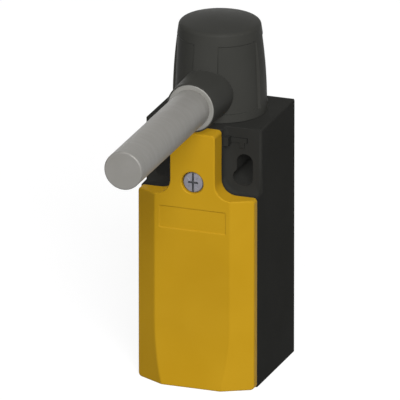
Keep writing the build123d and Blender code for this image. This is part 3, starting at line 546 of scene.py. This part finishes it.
def buildCover():
    c = coverSize
    w, n = c["width"] / 2, c["tongue"] / 2
    bm = bmesh.new()
    outline = [(-w, c["bottom"]), (w, c["bottom"]), (w, c["shoulder"]), (n, c["shoulder"]), (n, c["top"]),
               (-n, c["top"]), (-n, c["shoulder"]), (-w, c["shoulder"])]
    verts = [bm.verts.new((x * mm, -c["parting"] * mm, z * mm)) for x, z in outline]
    bm.faces.new(verts)
    for corners, size, segments in (
        ([verts[3], verts[6]], c["neckRadius"], 10),
        ([verts[0], verts[1], verts[2], verts[4], verts[5], verts[7]], c["cornerRadius"], 7),
    ):
        bmesh.ops.bevel(bm, geom=corners, offset=size * mm, segments=segments, profile=0.5,
                        affect="VERTICES", material=-1, clamp_overlap=False)
    # forwards to the flat front, then rows across the foot for the bulge
    made = bmesh.ops.extrude_face_region(bm, geom=list(bm.faces), use_keep_orig=True)["geom"]
    bmesh.ops.translate(bm, verts=[v for v in made if isinstance(v, bmesh.types.BMVert)],
                        vec=(0, (c["parting"] - c["front"]) * mm, 0))
    for row in range(c["bulgeRows"]):
        level = c["bulgeStart"] + (c["bottom"] - c["bulgeStart"]) * row / c["bulgeRows"]
        bmesh.ops.bisect_plane(bm, geom=list(bm.verts) + list(bm.edges) + list(bm.faces), dist=0.001 * mm,
                               plane_co=(0, 0, level * mm), plane_no=(0, 0, 1))
    for v in bm.verts:
        if v.co.y < -(c["front"] - 0.01) * mm and v.co.z < c["bulgeStart"] * mm:
            along = (c["bulgeStart"] - v.co.z / mm) / (c["bulgeStart"] - c["bottom"])
            v.co.y -= c["bulge"] * along ** 2 * mm
    # sloped facets to the left and right of the flat front
    for side in (-1, 1):
        cut = bmesh.ops.bisect_plane(
            bm, geom=list(bm.verts) + list(bm.edges) + list(bm.faces), dist=0.001 * mm,
            plane_co=(side * c["flat"] / 2 * mm, -c["front"] * mm, 0),
            plane_no=(side * c["facetSlope"], -1, 0), clear_outer=True)
        bmesh.ops.contextual_create(bm, geom=[e for e in cut["geom_cut"] if isinstance(e, bmesh.types.BMEdge)])
    bmesh.ops.recalc_face_normals(bm, faces=bm.faces)
    bmesh.ops.dissolve_limit(bm, angle_limit=math.radians(0.4), use_dissolve_boundaries=False,
                             verts=bm.verts, edges=bm.edges, delimit=set())
    roundEdges(bm, sharpEdges(bm, 20, lambda e: any(v.co.y < -(c["parting"] + 0.01) * mm for v in e.verts)
                              and not all(abs(v.co.y + c["parting"] * mm) < 0.01 * mm for v in e.verts)), c["edge"], 3)
    coverPiece = toObject(bm, "frontCover")
    combine(coverPiece, turnedShape("screwHole", c["screwHole"], Vector((0, 0, 0)), front, up, 64), "DIFFERENCE")
    bm = bmesh.new()
    bmesh.ops.create_cube(bm, size=1)
    wide, high = c["panel"]
    bmesh.ops.scale(bm, verts=bm.verts, vec=(wide * mm, 2 * mm, high * mm))
    upright = [e for e in bm.edges if abs(e.verts[0].co.y - e.verts[1].co.y) > mm]
    roundEdges(bm, upright, c["panelCorner"], 3)
    bmesh.ops.translate(bm, verts=bm.verts, vec=(0, -(c["front"] + 1 - c["panelDepth"]) * mm, c["panelHeight"] * mm))
    combine(coverPiece, toObject(bm, "panel"), "DIFFERENCE")
    settle(coverPiece, "cover", "body", "yellow_plastic", 28)
    return coverPiece


buildCover()
print("cover built")


# ---- housing with its cable thread ----

entrySize = dict(
    centre=-14.0, bottom=-54.5, top=-45.0, root=9.95, crest=9.25, pitch=1.5, turns=5, stepsPerTurn=56, mouth=10.4,
)
housingEdge = dict(round=0.15, segments=2, limit=30, fronts=(0, 24.3, 25.0, 28.3))


def buildHousing():
    e = entrySize
    bm = bmesh.new()
    bm.from_mesh(nodes["housing"].data)
    bmesh.ops.remove_doubles(bm, verts=bm.verts, dist=0.002 * mm)
    bmesh.ops.dissolve_limit(bm, angle_limit=math.radians(0.6), use_dissolve_boundaries=False,
                             verts=bm.verts, edges=bm.edges, delimit=set())
    lowest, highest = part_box("housing")

    def onShell(v):   # on the body's sides, top or foot, and at one of its front or rear faces
        outside = (abs(v.co.x) > highest[0] - 0.75 * mm or v.co.z > highest[2] - 0.75 * mm
                   or v.co.z < lowest[2] + 0.01 * mm)
        return outside and any(abs(v.co.y + depth * mm) < 0.01 * mm for depth in housingEdge["fronts"])

    shell = [e for e in sharpEdges(bm, 60, lambda e: all(onShell(v) for v in e.verts)) if e.is_convex]
    roundEdges(bm, shell, housingEdge["round"], housingEdge["segments"])
    housingPiece = toObject(bm, "bodyHousing")
    centre = Vector((0, e["centre"] * mm, 0))
    bore = ((0, e["bottom"] - 1), (e["mouth"] + 1, e["bottom"] - 1), (e["mouth"], e["bottom"]),
            (e["root"], e["bottom"] + 0.5), (e["root"], e["top"] - 0.4), (e["crest"], e["top"] + 0.1), (0, e["top"] + 0.1))
    combine(housingPiece, turnedShape("entryBore", bore, centre, up, front, 112), "DIFFERENCE")
    settle(housingPiece, "housing", "body", "black_plastic", housingEdge["limit"])
    # the thread's rib, wound as a screw inside the bore
    start = e["bottom"] + 0.75
    rib = [(e["root"] + 0.1, start - 0.62), (e["crest"] + 0.08, start - 0.1), (e["crest"] + 0.08, start + 0.1),
           (e["root"] + 0.1, start + 0.62)]
    thread = wound("entryThread", rib, centre, e["pitch"], e["turns"], e["stepsPerTurn"])
    smooth(thread, 30)
    finish(thread, "black_plastic")
    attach(thread, "body")


buildHousing()
print("housing built")


# the coil springs under the plungers are drawn with round wire
springSize = dict(
    headCoil=dict(node="head_spring", body="head", joint="plunger_slide", wire=0.45, turns=3),
    contactCoil=dict(node="contact_spring", body="body", joint="contact_slide", wire=0.4, turns=3),
)
coilDetail = dict(travel=3.3, wireSides=10, stepsPerTurn=40)   # travel at the slides' longer limit


def buildSpring(name, node, body, joint, wire, turns):
    low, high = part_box(node)
    foot = Vector(((low[0] + high[0]) / 2, (low[1] + high[1]) / 2, low[2]))
    height = (high[2] - low[2]) / mm
    radius = (high[0] - low[0]) / 2 / mm - wire / 2
    sides = [2 * math.pi * i / coilDetail["wireSides"] for i in range(coilDetail["wireSides"])]
    section = [(radius + wire / 2 * math.cos(a), wire / 2 + wire / 2 * math.sin(a)) for a in sides]
    coil = wound(name, section, foot, (height - wire) / turns, turns, coilDetail["stepsPerTurn"])
    smooth(coil, 40)
    finish(coil, "steel")
    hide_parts(node)
    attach(coil, body)
    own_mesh(coil)


for name, values in springSize.items():
    buildSpring(name, **values)
print("springs built")


# ---- cover screw ----

screwSize = dict(
    head=((0, 20.0), (1.75, 20.0), (1.75, 30.9), (2.7, 30.9), (2.7, 32.55), (2.45, 32.8), (1.6, 32.88), (0, 32.9)),
    slot=(0.62, 5.6, 0.8), cross=(3.0, 0.6, 1.1), ticks=(0.22, 0.9, 0.14), tickRadius=1.55,
)


def bar(name, wide, high, depth, turn=0.0, out=0.0):
    # a small block that cuts down from the screw's face
    bm = bmesh.new()
    bmesh.ops.create_cube(bm, size=1)
    bmesh.ops.scale(bm, verts=bm.verts, vec=(wide * mm, (depth + 1) * mm, high * mm))
    low = [v for v in bm.verts if v.co.y > 0]   # the block narrows towards its floor
    bmesh.ops.scale(bm, verts=low, vec=(0.8, 1, 0.9))
    bmesh.ops.translate(bm, verts=bm.verts, vec=(0, -(32.9 - depth + (depth + 1) / 2) * mm, out * mm))
    bmesh.ops.rotate(bm, verts=bm.verts, cent=(0, 0, 0), matrix=Matrix.Rotation(math.radians(turn), 3, "Y"))
    return toObject(bm, name)


def buildScrew():
    s = screwSize
    screwPiece = turnedShape("screwHead", s["head"], Vector((0, 0, 0)), front, up, 64)
    wide, high, depth = s["slot"]
    combine(screwPiece, bar("slotCut", wide, high, depth), "DIFFERENCE")
    wide, high, depth = s["cross"]
    combine(screwPiece, bar("crossCut", wide, high, depth), "DIFFERENCE")
    combine(screwPiece, bar("crossCutUpright", high, wide, depth), "DIFFERENCE")
    wide, high, depth = s["ticks"]
    for turn in (45, 135, 225, 315):
        combine(screwPiece, bar("tick", wide, high, depth, turn, s["tickRadius"]), "DIFFERENCE")
    settle(screwPiece, "cover_screw", "body", "screw", 25)


buildScrew()
print("screw built")


# ---- floor, light and camera ----

stage = dict(
    floorReach=4.0, floorLevel=-54.53, floorColour=(0.34, 0.34, 0.34, 1), bounceColour=(0.07, 0.07, 0.07, 1),
    floorGlow=0.74,
    worldStrength=0.05,
)


def backgroundRays(tree, path):
    # the camera, metal and glass all see the white background
    seen = mathNode(tree, "MAXIMUM", path.outputs["Is Camera Ray"], path.outputs["Is Transmission Ray"])
    return mathNode(tree, "MAXIMUM", seen, path.outputs["Is Glossy Ray"])


def buildFloor():
    bm = bmesh.new()
    bmesh.ops.create_grid(bm, x_segments=1, y_segments=1, size=stage["floorReach"])
    bmesh.ops.translate(bm, verts=bm.verts, vec=(0, 0, stage["floorLevel"] * mm))
    mesh = bpy.data.meshes.new("floor")
    bm.to_mesh(mesh)
    bm.free()
    floor = bpy.data.objects.new("floor", mesh)
    bpy.context.scene.collection.objects.link(floor)
    material, tree, shader = newMaterial("paleFloor")
    path = addNode(tree, "ShaderNodeLightPath")
    seen = backgroundRays(tree, path)
    tree.links.new(mixColour(tree, seen, stage["bounceColour"], stage["floorColour"]), shader.inputs["Base Color"])
    shader.inputs["Roughness"].default_value = 0.9
    shader.inputs["Specular IOR Level"].default_value = 0.0
    glow = mathNode(tree, "MULTIPLY", seen, stage["floorGlow"])
    shader.inputs["Emission Color"].default_value = (1, 1, 1, 1)
    tree.links.new(glow, shader.inputs["Emission Strength"])
    # from below the floor is clear to the camera, so the switch's foot can be seen
    rear = addNode(tree, "ShaderNodeNewGeometry").outputs["Backfacing"]
    hidden = mathNode(tree, "MULTIPLY", rear, path.outputs["Is Camera Ray"])
    tree.links.new(mathNode(tree, "SUBTRACT", 1.0, hidden), shader.inputs["Alpha"])
    floor.data.materials.append(material)
    return floor


def buildWorld():
    world = bpy.data.worlds.new("studio")
    bpy.context.scene.world = world
    world.use_nodes = True
    tree = world.node_tree
    back = tree.nodes["Background"]
    back.inputs["Color"].default_value = (1, 1, 1, 1)
    path = addNode(tree, "ShaderNodeLightPath")
    seen = backgroundRays(tree, path)
    strength = addNode(tree, "ShaderNodeMapRange", i0=seen, To_Min=stage["worldStrength"], To_Max=1.0)
    tree.links.new(strength.outputs[0], back.inputs["Strength"])


def aim(azimuth, elevation):
    a, e = math.radians(azimuth), math.radians(elevation)
    return Vector((math.sin(a) * math.cos(e), -math.cos(a) * math.cos(e), math.sin(e)))


def addLamp(name, azimuth, elevation, distance, size, power, shadow, gleam):
    light = bpy.data.lights.new(name, "AREA")
    light.shape = "DISK"
    light.size = size
    light.energy = power
    light.use_shadow = shadow
    lamp = bpy.data.objects.new(name, light)
    lamp.visible_glossy = gleam
    bpy.context.scene.collection.objects.link(lamp)
    middle = Vector((0, -25, -8)) * mm
    lamp.location = middle + aim(azimuth, elevation) * distance
    lamp.rotation_mode = "QUATERNION"
    lamp.rotation_quaternion = aim(azimuth, elevation).to_track_quat("Z", "Y")
    return lamp


# azimuth, elevation, distance, size, watts, whether it casts shadows, whether gloss sees it
lamps = dict(
    key=(27, 33, 3.0, 1.6, 59.0, False, True),
    shade=(27, 33, 3.0, 1.6, 60.0, True, True),
    rear=(205, 10, 3.0, 1.2, 70.0, False, False),
    low=(205, -55, 3.0, 1.2, 30.0, False, False),
)
buildFloor()
buildWorld()
for name, values in lamps.items():
    addLamp(name, *values)

view = dict(azimuth=20, elevation=20, lens=1500.0, sensor=36.0, perLens=2.7988, target=(-3.88, -17.0, -10.54))
cameraData = bpy.data.cameras.new("camera")
cameraData.lens = view["lens"]
cameraData.sensor_width = view["sensor"]
cameraData.clip_end = 100
cameraObject = bpy.data.objects.new("camera", cameraData)
bpy.context.scene.collection.objects.link(cameraObject)
back = aim(view["azimuth"], view["elevation"])
cameraObject.location = (Vector(view["target"]) + back * view["perLens"] * view["lens"]) * mm
cameraObject.rotation_mode = "QUATERNION"
cameraObject.rotation_quaternion = back.to_track_quat("Z", "Y")
bpy.context.scene.camera = cameraObject
bpy.context.scene.view_settings.view_transform = "Standard"
print("floor, light and camera set")
